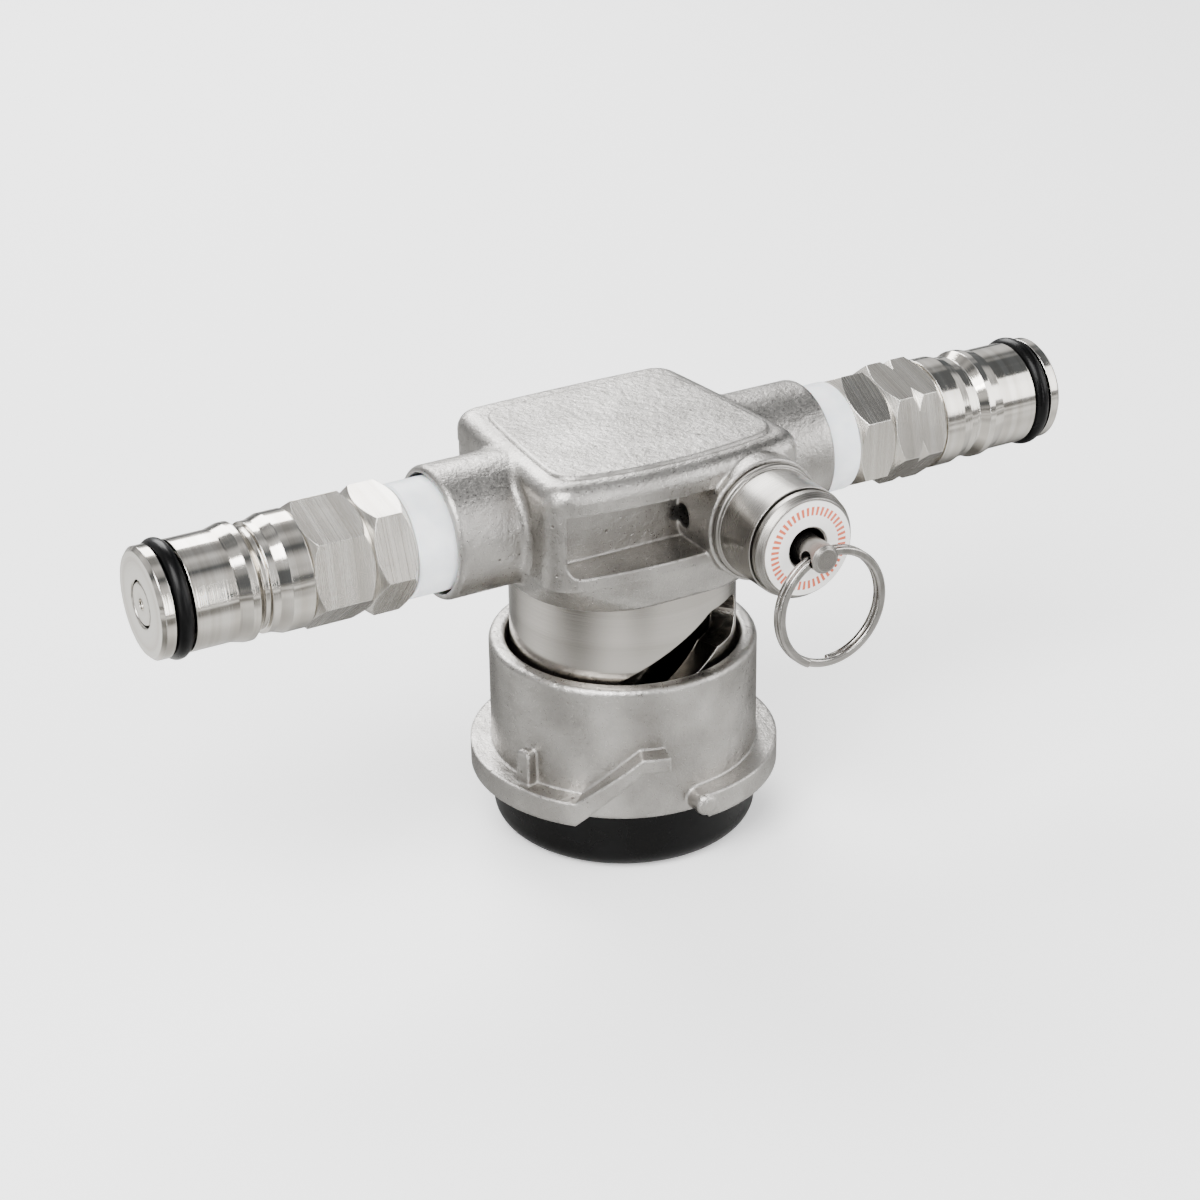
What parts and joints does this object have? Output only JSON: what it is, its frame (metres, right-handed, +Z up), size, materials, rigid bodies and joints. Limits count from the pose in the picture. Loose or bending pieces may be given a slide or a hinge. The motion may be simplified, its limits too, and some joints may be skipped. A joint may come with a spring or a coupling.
{
  "type": "keg coupler",
  "caption": "Twist-lock keg coupler: bayonet collar, cam-driven head with a probe, two ball lock posts and a pull-ring relief valve.",
  "frame": {"origin": "middle of the underside of the bottom seal, on the coupler's vertical axis, where it seats on the keg valve", "axes": "+Z up along the coupler's axis, X along the two arms (gas arm at +X, beer arm at -X), relief valve towards -Y"},
  "size_m": [0.1616, 0.0652, 0.0691],
  "materials": {
    "cast_steel": "bead-blasted cast stainless steel, satin",
    "turned_steel": "turned stainless steel, fine tool marks",
    "polished_steel": "polished stainless steel",
    "bright_steel": "bright stainless split ring",
    "spring_steel": "drawn stainless spring wire",
    "black_rubber": "moulded black rubber, slightly glossy",
    "white_nylon": "smooth white nylon",
    "label_film": "printed white film, bare of words"
  },
  "bodies": {
    "collar": {"lock_collar": "cast_steel", "bottom_seal": "black_rubber", "probe_o_ring": "black_rubber", "cam_pins": "turned_steel"},
    "tip": {"probe_seal": "black_rubber"},
    "head": {"head_casting": "cast_steel", "cam_skirt": "turned_steel", "probe_body": "turned_steel", "beer_tube": "turned_steel", "left_sleeve": "white_nylon", "left_adapter": "polished_steel", "left_post": "polished_steel", "left_post_o_ring": "black_rubber", "right_sleeve": "white_nylon", "right_adapter": "polished_steel", "right_post": "polished_steel", "right_post_o_ring": "black_rubber", "beer_washer": "white_nylon", "gas_check_valve": "black_rubber", "relief_body": "turned_steel", "relief_cap": "turned_steel", "relief_label": "label_film", "left_poppet_spring": "spring_steel", "right_poppet_spring": "spring_steel", "relief_spring": "spring_steel"},
    "left_valve": {"left_poppet": "turned_steel", "left_poppet_seal": "black_rubber"},
    "right_valve": {"right_poppet": "turned_steel", "right_poppet_seal": "black_rubber"},
    "relief_valve": {"relief_stem": "turned_steel", "relief_disc": "black_rubber"},
    "ring": {"pull_ring": "bright_steel"}
  },
  "joints": [
    {"name": "head_drop", "type": "slide", "parent": "collar", "child": "tip", "axis": [0, 0, -1], "range_m": [0, 0.0128]},
    {"name": "head_turn", "type": "hinge", "parent": "tip", "child": "head", "pos_m": [0, 0, 0.0252], "axis": [0, 0, -1], "range_deg": [0, 71]},
    {"name": "left_poppet_press", "type": "slide", "parent": "head", "child": "left_valve", "axis": [1, 0, 0], "range_m": [0, 0.003], "stiffness_N_per_m": 1200, "springref_m": -0.002, "deforming": ["left_poppet_spring"]},
    {"name": "right_poppet_press", "type": "slide", "parent": "head", "child": "right_valve", "axis": [-1, 0, 0], "range_m": [0, 0.003], "stiffness_N_per_m": 1200, "springref_m": -0.002, "deforming": ["right_poppet_spring"]},
    {"name": "relief_pull", "type": "slide", "parent": "head", "child": "relief_valve", "axis": [0, -1, 0], "range_m": [0, 0.0025], "stiffness_N_per_m": 2000, "springref_m": -0.003, "deforming": ["relief_spring"]},
    {"name": "ring_swing", "type": "hinge", "parent": "relief_valve", "child": "ring", "pos_m": [0.0124, -0.0374, 0.0578], "axis": [-0.9744, 0, -0.225], "range_deg": [-9, 180]}
  ],
  "couplings": [
    {"joint": "head_drop", "follows": "head_turn", "m_per_rad": 0.010329}
  ]
}
